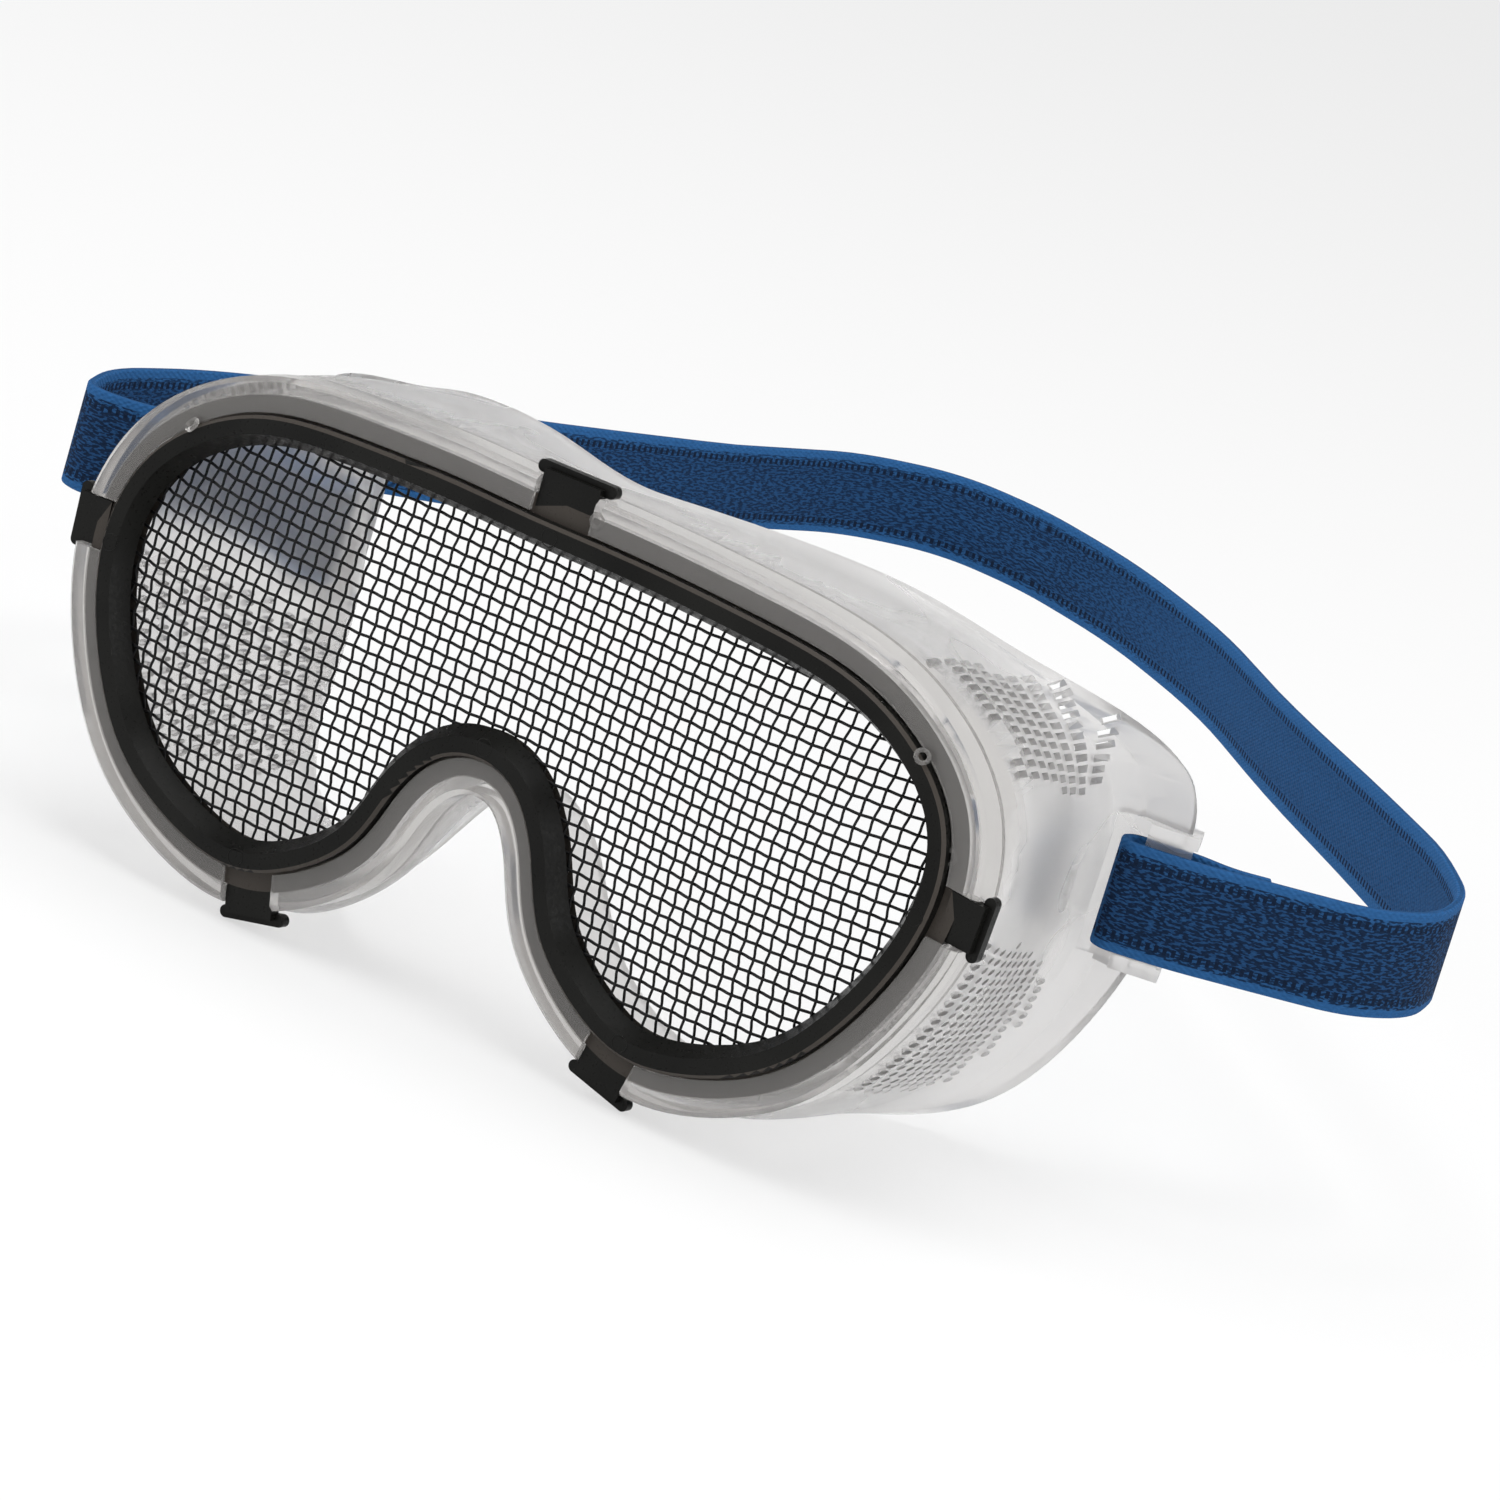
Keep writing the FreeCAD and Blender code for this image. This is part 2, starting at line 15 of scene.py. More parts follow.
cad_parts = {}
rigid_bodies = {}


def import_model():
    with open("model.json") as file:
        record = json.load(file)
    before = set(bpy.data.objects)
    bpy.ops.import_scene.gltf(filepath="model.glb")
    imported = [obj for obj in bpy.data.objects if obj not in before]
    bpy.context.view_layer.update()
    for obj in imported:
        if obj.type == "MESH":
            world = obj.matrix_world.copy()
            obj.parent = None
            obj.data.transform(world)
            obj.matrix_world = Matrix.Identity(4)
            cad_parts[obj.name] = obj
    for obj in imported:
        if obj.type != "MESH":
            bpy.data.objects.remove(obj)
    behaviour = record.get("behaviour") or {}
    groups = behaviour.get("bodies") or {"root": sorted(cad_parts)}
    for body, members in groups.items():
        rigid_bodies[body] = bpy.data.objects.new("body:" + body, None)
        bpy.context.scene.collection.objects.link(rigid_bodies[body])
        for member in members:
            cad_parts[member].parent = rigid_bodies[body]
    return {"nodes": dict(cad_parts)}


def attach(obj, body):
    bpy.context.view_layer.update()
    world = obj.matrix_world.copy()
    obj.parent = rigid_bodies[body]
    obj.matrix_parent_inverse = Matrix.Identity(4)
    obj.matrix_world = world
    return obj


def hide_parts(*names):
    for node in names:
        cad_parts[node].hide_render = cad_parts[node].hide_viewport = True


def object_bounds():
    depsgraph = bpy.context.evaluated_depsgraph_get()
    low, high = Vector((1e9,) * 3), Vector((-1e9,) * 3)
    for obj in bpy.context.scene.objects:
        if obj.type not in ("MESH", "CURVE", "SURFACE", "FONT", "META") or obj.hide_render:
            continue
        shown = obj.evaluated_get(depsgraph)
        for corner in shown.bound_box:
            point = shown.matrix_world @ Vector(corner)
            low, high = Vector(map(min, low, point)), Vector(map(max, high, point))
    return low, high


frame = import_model()
nodes = frame["nodes"]
cad_low, cad_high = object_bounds()
print("CAD box, mm:", [round(v * 1000, 1) for v in cad_high - cad_low])

# %% [markdown]
# ## Camera
# The camera stands where the photographer stood: a long lens, a little above the goggles,
# to the right of their middle, and the picture is turned a few degrees clockwise.
# Azimuth, elevation and roll give the camera's three directions directly.
# %% Place the camera
CAMERA_PLACE = Vector((0.56708, -0.97484, 0.29548))
CAMERA_AZIMUTH = math.radians(29.08)
CAMERA_ELEVATION = math.radians(14.457)
CAMERA_ROLL = math.radians(16.778)

backward = Vector((
    math.sin(CAMERA_AZIMUTH) * math.cos(CAMERA_ELEVATION),
    -math.cos(CAMERA_AZIMUTH) * math.cos(CAMERA_ELEVATION),
    math.sin(CAMERA_ELEVATION)))
level = Vector((math.cos(CAMERA_AZIMUTH), math.sin(CAMERA_AZIMUTH), 0))
upright = backward.cross(level)
across = level * math.cos(CAMERA_ROLL) + upright * math.sin(CAMERA_ROLL)
above = upright * math.cos(CAMERA_ROLL) - level * math.sin(CAMERA_ROLL)

camera_data = bpy.data.cameras.new("camera")
camera_data.lens = 192.04
camera_data.sensor_width = 36
camera_data.clip_end = 20
camera = bpy.data.objects.new("camera", camera_data)
bpy.context.scene.collection.objects.link(camera)
turned = Matrix((across, above, backward)).transposed().to_4x4()
camera.matrix_world = Matrix.Translation(CAMERA_PLACE) @ turned
bpy.context.scene.camera = camera
print("camera distance, m:", round(CAMERA_PLACE.length, 3))

# %% [markdown]
# ## Helpers for materials
# Every finish starts from the Principled shader. Two short helpers keep the node code readable:
# one makes a material, the other adds a node with its settings and joins its inputs.
# %% Material helpers


def new_material(name):
    made = bpy.data.materials.new(name)
    made.use_nodes = True
    tree = made.node_tree
    return made, tree, tree.nodes["Principled BSDF"]


def add_node(tree, kind, settings=None, **inputs):
    node = tree.nodes.new(kind)
    for key, value in (settings or {}).items():
        setattr(node, key, value)
    for key, value in inputs.items():
        numbered = key[0] == "i" and key[1:].isdigit()
        socket = node.inputs[int(key[1:]) if numbered else key]
        if isinstance(value, bpy.types.NodeSocket):
            tree.links.new(value, socket)
        else:
            socket.default_value = value
    return node


def set_inputs(shader, **values):
    for key, value in values.items():
        shader.inputs[key.replace("_", " ")].default_value = value


def ramp_between(tree, fac, stops):
    """A colour ramp with stops of (place, grey or colour)."""
    ramp = add_node(tree, "ShaderNodeValToRGB", i0=fac)
    while len(ramp.color_ramp.elements) < len(stops):
        ramp.color_ramp.elements.new(0.5)
    for element, (place, colour) in zip(ramp.color_ramp.elements, stops):
        element.position = place
        element.color = (colour, colour, colour, 1) if isinstance(colour, float) else (*colour, 1)
    return ramp


print("helpers ready")

# %% [markdown]
# ## Shared surface effect: moulding variation
# Plastic from a mould is never even. A large soft noise shifts the colour and the gloss a
# little, and a fine noise gives the orange-peel skin. Two materials use it with their own
# scales, so it is a node group with named sockets.
# %% Build the moulding group
mould_group = bpy.data.node_groups.new("moulding_variation", "ShaderNodeTree")
for socket_name, kind in (("Vector", "NodeSocketVector"), ("Broad Scale", "NodeSocketFloat"),
                          ("Fine Scale", "NodeSocketFloat")):
    mould_group.interface.new_socket(socket_name, in_out="INPUT", socket_type=kind)
for socket_name in ("Broad", "Fine"):
    mould_group.interface.new_socket(socket_name, in_out="OUTPUT", socket_type="NodeSocketFloat")
group_in = mould_group.nodes.new("NodeGroupInput")
group_out = mould_group.nodes.new("NodeGroupOutput")
broad = add_node(mould_group, "ShaderNodeTexNoise", None, Vector=group_in.outputs[0],
                 Scale=group_in.outputs[1], Detail=2.0)
fine = add_node(mould_group, "ShaderNodeTexNoise", None, Vector=group_in.outputs[0],
                Scale=group_in.outputs[2], Detail=3.0, Roughness=0.6)
mould_group.links.new(broad.outputs["Fac"], group_out.inputs[0])
mould_group.links.new(fine.outputs["Fac"], group_out.inputs[1])


def moulding(tree, vector, broad_scale, fine_scale):
    node = tree.nodes.new("ShaderNodeGroup")
    node.node_tree = mould_group
    tree.links.new(vector, node.inputs["Vector"])
    node.inputs["Broad Scale"].default_value = broad_scale
    node.inputs["Fine Scale"].default_value = fine_scale
    return node


print("group sockets:", [item.name for item in mould_group.interface.items_tree])

# %% [markdown]
# ## Clear soft vinyl
# The body is see-through but milky: light scatters a little in the wall and what lies behind
# is blurred. So a small part of the shader is plain scattering and the rest is rough
# transmission with a grey tint. The rim is clearer than the skirt, and the walls of the vent
# holes are rougher and carry a darker tint, painted shade in the holes: the mesh carries
# "milk" and "vent" values for that.
# %% Clear vinyl material
clear_vinyl, tree, shader = new_material("clear_vinyl")
place = add_node(tree, "ShaderNodeTexCoord")
skin_noise = moulding(tree, place.outputs["Object"], 26.0, 700.0)
milk = add_node(tree, "ShaderNodeAttribute", {"attribute_name": "milk"})
in_vent = add_node(tree, "ShaderNodeAttribute", {"attribute_name": "vent"})
milky_tint = ramp_between(tree, skin_noise.outputs["Broad"],
                          [(0.3, (0.780, 0.770, 0.763)), (0.7, (0.825, 0.815, 0.808))])
haze = ramp_between(tree, skin_noise.outputs["Broad"], [(0.3, 0.24), (0.7, 0.33)])
tint = add_node(tree, "ShaderNodeMix", {"data_type": "RGBA"})
tint.inputs["A"].default_value = (0.64, 0.625, 0.61, 1)
tree.links.new(milk.outputs["Fac"], tint.inputs["Factor"])
tree.links.new(milky_tint.outputs["Color"], tint.inputs["B"])
# painted shade: the walls of the vent holes are tinted a darker grey than the rest of the body
vent_wall_painted_shade = add_node(tree, "ShaderNodeMix", {"data_type": "RGBA"})
vent_wall_painted_shade.inputs["B"].default_value = (0.58, 0.57, 0.565, 1)
tree.links.new(in_vent.outputs["Fac"], vent_wall_painted_shade.inputs["Factor"])
tree.links.new(tint.outputs["Result"], vent_wall_painted_shade.inputs["A"])
rough = add_node(tree, "ShaderNodeMapRange", None, Value=milk.outputs["Fac"])
rough.inputs["To Min"].default_value = 0.17
tree.links.new(haze.outputs["Color"], rough.inputs["To Max"])
vent_rough = add_node(tree, "ShaderNodeMix", {"data_type": "FLOAT"})
vent_rough.inputs["B"].default_value = 0.5
tree.links.new(in_vent.outputs["Fac"], vent_rough.inputs["Factor"])
tree.links.new(rough.outputs["Result"], vent_rough.inputs["A"])
skin_bump = add_node(tree, "ShaderNodeBump", None, Strength=0.06, Distance=0.0002,
                     Height=skin_noise.outputs["Fine"])
tree.links.new(vent_wall_painted_shade.outputs["Result"], shader.inputs["Base Color"])
tree.links.new(vent_rough.outputs["Result"], shader.inputs["Roughness"])
tree.links.new(skin_bump.outputs["Normal"], shader.inputs["Normal"])
set_inputs(shader, IOR=1.33, Specular_IOR_Level=0.4, Transmission_Weight=0.88)

# %% [markdown]
# ## Black frame plastic
# Black nylon, semi-gloss and finely textured. The flange that the lip covers gets a brown-grey
# colour, painted light for the glow of the milky lip over the black, so the frame's mesh carries
# a "flange" value on those faces.
# %% Black plastic material
black_plastic, tree, shader = new_material("black_plastic")
place = add_node(tree, "ShaderNodeTexCoord")
peel = moulding(tree, place.outputs["Object"], 60.0, 1700.0)
shade = ramp_between(tree, peel.outputs["Broad"],
                     [(0.3, (0.004, 0.004, 0.0036)), (0.7, (0.009, 0.009, 0.008))])
gloss = ramp_between(tree, peel.outputs["Fine"], [(0.35, 0.26), (0.65, 0.44)])
peel_bump = add_node(tree, "ShaderNodeBump", None, Strength=0.30, Distance=0.0001,
                     Height=peel.outputs["Fine"])
on_flange = add_node(tree, "ShaderNodeAttribute", {"attribute_name": "flange"})
# painted light: the black flange under the milky lip is coloured a lighter brown-grey
flange_painted_light = add_node(tree, "ShaderNodeMix", {"data_type": "RGBA"})
tree.links.new(on_flange.outputs["Fac"], flange_painted_light.inputs["Factor"])
tree.links.new(shade.outputs["Color"], flange_painted_light.inputs["A"])
flange_painted_light.inputs["B"].default_value = (0.052, 0.045, 0.039, 1)
tree.links.new(flange_painted_light.outputs["Result"], shader.inputs["Base Color"])
tree.links.new(gloss.outputs["Color"], shader.inputs["Roughness"])
tree.links.new(peel_bump.outputs["Normal"], shader.inputs["Normal"])
set_inputs(shader, Specular_IOR_Level=0.12)

# %% [markdown]
# ## Black wire
# Steel wire with thin black paint: dark, a little glossy, worn brighter only in specks.
# %% Black wire material
black_wire, tree, shader = new_material("black_wire")
place = add_node(tree, "ShaderNodeTexCoord")
paint = moulding(tree, place.outputs["Object"], 220.0, 2600.0)
paint_shade = ramp_between(tree, paint.outputs["Fine"],
                           [(0.35, (0.003, 0.003, 0.003)), (0.7, (0.011, 0.011, 0.012))])
paint_gloss = ramp_between(tree, paint.outputs["Broad"], [(0.3, 0.42), (0.7, 0.58)])
tree.links.new(paint_shade.outputs["Color"], shader.inputs["Base Color"])
tree.links.new(paint_gloss.outputs["Color"], shader.inputs["Roughness"])
set_inputs(shader, Metallic=0.0, Specular_IOR_Level=0.2)
print("materials:", [m.name for m in bpy.data.materials])

# %% [markdown]
# ## Blue elastic webbing
# The strap is knitted elastic: bright blue edges, a darker field where black rubber shows
# between the blue yarns, and a ladder of dark stitches a few millimetres in from each edge.
# The pattern follows the band through a UV map laid out in metres: U runs along the strap and
# V across it, so every scale below is a real size.
# %% Blue webbing material
blue_webbing, tree, shader = new_material("blue_webbing")
uv = add_node(tree, "ShaderNodeUVMap", {"uv_map": "strap_uv"})
split = add_node(tree, "ShaderNodeSeparateXYZ", None, Vector=uv.outputs["UV"])


def math_node(operation, first, second=0.0, third=0.0):
    return add_node(tree, "ShaderNodeMath", {"operation": operation},
                    i0=first, i1=second, i2=third).outputs[0]


STRAP_WIDTH = 0.0165
RIB_PITCH = 0.0013
COURSE_PITCH = 0.0008
# shares of the half width, from the middle line to the edge
LADDER_INNER, LADDER_OUTER, FIELD_EDGE = 0.62, 0.76, 0.84
edge_place = math_node("ABSOLUTE", math_node("DIVIDE", split.outputs["Y"], STRAP_WIDTH / 2))
rib = math_node("SINE", math_node("MULTIPLY", split.outputs["X"], 2 * math.pi / RIB_PITCH))
course = math_node("SINE", math_node("MULTIPLY", split.outputs["Y"], 2 * math.pi / COURSE_PITCH))
knit = math_node("MULTIPLY_ADD", math_node("MULTIPLY", rib, course), 0.5, 0.5)


def yarn_noise(along, over, detail):
    """Noise in short dashes: cells per metre along the strap and across it."""
    space = add_node(tree, "ShaderNodeMapping", None, Vector=uv.outputs["UV"],
                     Scale=(along, over, 1.0))
    return add_node(tree, "ShaderNodeTexNoise", None, Vector=space.outputs["Vector"], Scale=1.0,
                    Detail=detail).outputs["Fac"]


yarn = yarn_noise(800.0, 2600.0, 2.0)
dash = yarn_noise(900.0, 2700.0, 1.0)
field = ramp_between(tree, edge_place,
                     [(0.0, 0.44), (0.55, 0.40), (0.66, 0.52), (0.78, 0.66), (0.86, 0.85)])
flecked = add_node(tree, "ShaderNodeAttribute", {"attribute_name": "flecked"}).outputs["Fac"]
in_field = math_node("LESS_THAN", edge_place, FIELD_EDGE)
dash_place = math_node("SUBTRACT", dash, math_node("MULTIPLY", flecked, 0.09))
dash_mask = ramp_between(tree, dash_place, [(0.0, 1.0), (0.40, 1.0), (0.47, 0.0), (1.0, 0.0)])
ladder_band = math_node("MULTIPLY", math_node("GREATER_THAN", edge_place, LADDER_INNER),
                        math_node("LESS_THAN", edge_place, LADDER_OUTER))
ladder = math_node("MULTIPLY", ladder_band, math_node("GREATER_THAN", rib, 0.1))
dashes = math_node("MULTIPLY", math_node("MULTIPLY", dash_mask.outputs["Color"], in_field),
                   math_node("MULTIPLY_ADD", flecked, 0.55, 0.25))
dark = math_node("MAXIMUM", math_node("MULTIPLY", ladder, 0.9), dashes)
bright = math_node("MULTIPLY", field.outputs["Color"],
                   math_node("MULTIPLY_ADD", flecked, -0.35, 1.35))
blue = ramp_between(tree, math_node("MULTIPLY", bright, math_node("MULTIPLY_ADD", yarn, 0.8, 0.58)),
                    [(0.10, (0.006, 0.018, 0.055)), (0.45, (0.016, 0.062, 0.165)),
                     (0.95, (0.024, 0.105, 0.275))])
dyed = add_node(tree, "ShaderNodeMix", {"data_type": "RGBA"})
tree.links.new(dark, dyed.inputs["Factor"])
tree.links.new(blue.outputs["Color"], dyed.inputs["A"])
dyed.inputs["B"].default_value = (0.004, 0.008, 0.020, 1)
height = math_node("SUBTRACT", math_node("MULTIPLY_ADD", yarn, 0.6, knit),
                   math_node("MULTIPLY", dark, 0.6))
weave_bump = add_node(tree, "ShaderNodeBump", None, Strength=0.6, Distance=0.00025, Height=height)
tree.links.new(dyed.outputs["Result"], shader.inputs["Base Color"])
tree.links.new(weave_bump.outputs["Normal"], shader.inputs["Normal"])
set_inputs(shader, Roughness=0.85, Specular_IOR_Level=0.08)
print("webbing nodes:", len(tree.nodes))

# %% [markdown]
# ## A clean copy of a CAD mesh
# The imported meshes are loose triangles. A copy whose doubles are merged can be shaded smooth,
# with sharp edges only where two faces really meet at an angle.
# %% Helper for clean copies
WELD_DISTANCE = 0.000004
SHARP_ANGLE = math.radians(32)


def clean_copy(node_name, piece_name):
    mesh = nodes[node_name].data.copy()
    mesh.name = piece_name
    shape = bmesh.new()
    shape.from_mesh(mesh)
    bmesh.ops.remove_doubles(shape, verts=shape.verts, dist=WELD_DISTANCE)
    shape.to_mesh(mesh)
    shape.free()
    mesh.materials.clear()
    for name in [item.name for item in mesh.attributes if item.name == "custom_normal"]:
        mesh.attributes.remove(mesh.attributes[name])
    mesh.shade_smooth()
    mesh.set_sharp_from_angle(angle=SHARP_ANGLE)
    piece = bpy.data.objects.new(piece_name, mesh)
    bpy.context.scene.collection.objects.link(piece)
    return piece


def fit_out(piece, body, material, slot, *replaced):
    piece.data.materials.append(material)
    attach(piece, body)
    if replaced:
        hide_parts(*replaced)
    return piece


# %% [markdown]
# ## The mesh surface
# The wire mesh is curved: two shallow domes with swept-back corners. The CAD model lays its
# wires straight between grid lines of that surface, and the same grid gives the depth here.
# %% Depth of the mesh
OPENING_HALF_WIDTH = 0.0705
OPENING_HALF_HEIGHT = 0.030
DOME_DEPTH = 0.0024
DOME_PLACE = 0.0458
CROWN_SWEEP = 0.0010
UPPER_SWEEP = 0.0095
LOWER_SWEEP = 0.0035
BROW_SETBACK = 0.026
COLUMN_SHARES = (-1.03, -0.94, -0.80, -0.60, -0.33, 0.0, 0.33, 0.60, 0.80, 0.94, 1.03)
ROW_SHARES = (-1.06, -0.42, 0.12, 0.42, 0.72, 1.06)


def dome_surface(x, z):
    w = (x / DOME_PLACE) ** 2
    corner = UPPER_SWEEP if z > 0 else LOWER_SWEEP
    side = (x / OPENING_HALF_WIDTH) ** 2
    sweep = (z / OPENING_HALF_HEIGHT) ** 2 * (CROWN_SWEEP + corner * side)
    return DOME_DEPTH * (w * w - 2 * w) + sweep


def bay_of(shares, share):
    number = 0
    while number < len(shares) - 2 and share > shares[number + 1]:
        number += 1
    return number, (share - shares[number]) / (shares[number + 1] - shares[number])


def mesh_depth(x, z):
    """Depth behind the plane of the mesh's middle, straight between the grid lines."""
    column, right = bay_of(COLUMN_SHARES, x / OPENING_HALF_WIDTH)
    row, up = bay_of(ROW_SHARES, z / OPENING_HALF_HEIGHT)
    ends = []
    for share in (ROW_SHARES[row], ROW_SHARES[row + 1]):
        first, second = (dome_surface(COLUMN_SHARES[column + i] * OPENING_HALF_WIDTH,
                                      share * OPENING_HALF_HEIGHT) for i in (0, 1))
        ends.append(first + (second - first) * right)
    return ends[0] + (ends[1] - ends[0]) * up


print("depth at the temple, mm:", round(mesh_depth(0.070, 0.0) * 1000, 2))

# %% [markdown]
# ## The clear body and its vents
# One soft moulding. Each side has two patches of vent holes: square cells above the temple
# and small round ones at the cheek. A hole is a short tapered plug, set square to the wall
# where a ray from inside meets it, and all the plugs are cut out of the copy in one go.
# %% Clear body
clear_body = clean_copy("goggle_body", "clear_body")
VENT_AXIS = 0.030
# patch outlines as (degrees round the axis, mm behind the plane of the mesh's middle)
UPPER_PATCH = [(72, 0), (63, 1), (57, 4), (53, 12), (51, 24), (48.9, 38.6), (45.3, 43.5),
               (40.2, 45.4), (34.7, 46.9), (30.6, 48.6), (26.5, 49.5), (23.7, 45.4), (25.5, 32),
               (26.8, 20.2), (29.3, 4.2), (33.7, 1.4), (46, 0)]
LOWER_PATCH = [(3, 2), (2.7, 8.6), (-2.8, 27.9), (-11.5, 45), (-15, 50), (-20.5, 54), (-27.3, 54),
               (-33.2, 52), (-38.7, 48), (-44.7, 44), (-45, 36), (-42, 28.8), (-36.9, 8.2),
               (-34, 0)]
PATCH_DEPTH = 0.056
ROWS_EACH_WAY = 60
# a ray through plain wall passes between these thicknesses; it slants through the far part
THINNEST_WALL, THICKEST_WALL, THICKEST_FAR_WALL = 0.0012, 0.0034, 0.0060
FAR_WALL_DEPTH = 0.030
HALF_WALL = 0.0009
RIM_DEPTH = 0.0046
# the two ends of a plug: how far outside the wall, and its share of the hole's size
PLUG_ENDS = ((0.0005, 1.16), (-0.0028, 0.42))
# the vinyl turns milky behind the rim, and the walls of a hole lie close to its middle
MILK_START, MILK_RUN = 0.0030, 0.005
HOLE_REACH, HOLE_TILT = 0.0018, 0.45


def held(value, limit):
    return max(min(value, limit), -limit)


def inside_patch(patch, angle, depth):
    found = False
    for (a, b), (c, d) in zip(patch, patch[1:] + patch[:1]):
        if (b > depth) != (d > depth) and angle < a + (depth - b) / (d - b) * (c - a):
            found = not found
    return found


def wall_at(tree, angle, depth):
    """Outer point and square direction of the skirt's wall, or nothing where it isn't plain."""
    start = Vector((VENT_AXIS, depth - BROW_SETBACK, 0))
    ray = Vector((math.cos(angle), 0, math.sin(angle)))
    inner = tree.ray_cast(start, ray)[0]
    if inner is None:
        return None
    outer, square, _, thickness = tree.ray_cast(inner + ray * 0.0001, ray)
    thickest = THICKEST_WALL if depth < FAR_WALL_DEPTH else THICKEST_FAR_WALL
    if outer is None or not THINNEST_WALL < thickness < thickest:
        return None
    if square.dot(ray) < 0:
        square = -square
    beside = held(outer.x, OPENING_HALF_WIDTH), held(outer.z, OPENING_HALF_HEIGHT)
    return (outer, square) if depth > mesh_depth(*beside) + RIM_DEPTH else None


def plug_rings(outer, square, angle, sides, half_round, half_back, mirror):
    """The two ends of a plug, a little outside the wall and a little inside it."""
    round_way = Vector((-math.sin(angle), 0, math.cos(angle)))
    round_way = (round_way - square * round_way.dot(square)).normalized()
    back_way = square.cross(round_way)
    widen = 1 / math.cos(math.pi / sides)
    for out, taper in PLUG_ENDS:
        share = taper * widen
        ring = []
        for k in range(sides):
            spin = 2 * math.pi * (k + 0.5) / sides
            co = outer + square * out + round_way * math.cos(spin) * half_round * share
            co += back_way * math.sin(spin) * half_back * share
            ring.append((co.x * mirror, co.y, co.z))
        yield ring


def add_plugs(plugs, places, tree, patch, *, sides, halves, step_angle, step_back, slope, stagger):
    """Plugs in rows and columns over a patch, on both sides of the goggles."""
    before = len(places)
    for column in range(int(PATCH_DEPTH / step_back)):
        depth = (column + 0.5) * step_back
        for row in range(-ROWS_EACH_WAY, ROWS_EACH_WAY + 1):
            degrees = (row + stagger * (column % 2)) * step_angle - slope * depth * 1000
            in_patch = inside_patch(patch, degrees, depth * 1000)
            found = in_patch and wall_at(tree, math.radians(degrees), depth)
            if not found:
                continue
            for mirror in (1, -1):
                rings = [[plugs.verts.new(co) for co in ring] for ring in plug_rings(
                    *found, math.radians(degrees), sides, *halves, mirror)]
                plugs.faces.new(rings[0])
                plugs.faces.new(rings[1][::-1])
                for k in range(sides):
                    near = (k + 1) % sides
                    plugs.faces.new((rings[0][k], rings[1][k], rings[1][near], rings[0][near]))
                middle, square = found[0] - found[1] * HALF_WALL, found[1]
                places.append((Vector((middle.x * mirror, middle.y, middle.z)),
                               Vector((square.x * mirror, square.y, square.z))))
    return len(places) - before


shape = bmesh.new()
shape.from_mesh(clear_body.data)
wall_tree = BVHTree.FromBMesh(shape)
print("open edges of the body:", sum(1 for edge in shape.edges if not edge.is_manifold))
shape.free()
plugs = bmesh.new()
plug_places = []
square_holes = add_plugs(plugs, plug_places, wall_tree, UPPER_PATCH, sides=4,
                         halves=(0.00050, 0.00140), step_angle=2.05, step_back=0.0044,
                         slope=0.10, stagger=0.0)
round_holes = add_plugs(plugs, plug_places, wall_tree, LOWER_PATCH, sides=8,
                        halves=(0.00048, 0.00105), step_angle=2.05, step_back=0.0042,
                        slope=0.10, stagger=0.5)
bmesh.ops.recalc_face_normals(plugs, faces=plugs.faces)
plug_mesh = bpy.data.meshes.new("vent_plugs")
plugs.to_mesh(plug_mesh)
plugs.free()
plug_object = bpy.data.objects.new("vent_plugs", plug_mesh)
bpy.context.scene.collection.objects.link(plug_object)
cut = clear_body.modifiers.new("vents", "BOOLEAN")
cut.operation = "DIFFERENCE"
cut.solver = "MANIFOLD"
cut.object = plug_object
cut_body = clear_body.evaluated_get(bpy.context.evaluated_depsgraph_get())
vented = bpy.data.meshes.new_from_object(cut_body)
clear_body.modifiers.remove(cut)
plain_mesh = clear_body.data
clear_body.data = vented
bpy.data.meshes.remove(plain_mesh)
bpy.data.objects.remove(plug_object)
bpy.data.meshes.remove(plug_mesh)
vented.name = "clear_body"
vented.materials.clear()
vented.shade_smooth()
vented.set_sharp_from_angle(angle=SHARP_ANGLE)
near_plug = KDTree(len(plug_places))
for i, (middle, square) in enumerate(plug_places):
    near_plug.insert(middle, i)
near_plug.balance()
walls, milks = [], []
for polygon in vented.polygons:
    x, y, z = polygon.center
    behind = y + BROW_SETBACK - mesh_depth(held(x, OPENING_HALF_WIDTH),
                                           held(z, OPENING_HALF_HEIGHT))
    milks.append(min(max((behind - MILK_START) / MILK_RUN, 0.0), 1.0))
    _, i, distance = near_plug.find(polygon.center)
    tilt = abs(polygon.normal.dot(plug_places[i][1]))
    walls.append(float(distance < HOLE_REACH and tilt < HOLE_TILT))
vented.attributes.new("vent", "FLOAT", "FACE").data.foreach_set("value", walls)
vented.attributes.new("milk", "FLOAT", "FACE").data.foreach_set("value", milks)
fit_out(clear_body, "root", clear_vinyl, "clear_vinyl", "goggle_body")
print("vent holes:", square_holes, "square,", round_holes, "round; body faces:", len(vented.polygons))

# %% [markdown]
# ## The black frame
# The frame keeps its CAD mesh. Its flange is found from the shape: the ring's front is one
# smooth run of faces, and the flange is what faces forward beside it, up to the hooks.
# %% The frame keeps its CAD mesh
frame_object = nodes["lens_frame"]
frame_object.data.materials.clear()
frame_object.data.materials.append(black_plastic)
frame_object.data.shade_smooth()
FORWARD = -0.7
SMOOTH_RUN = 0.4
FLANGE_REACH = 0.0050


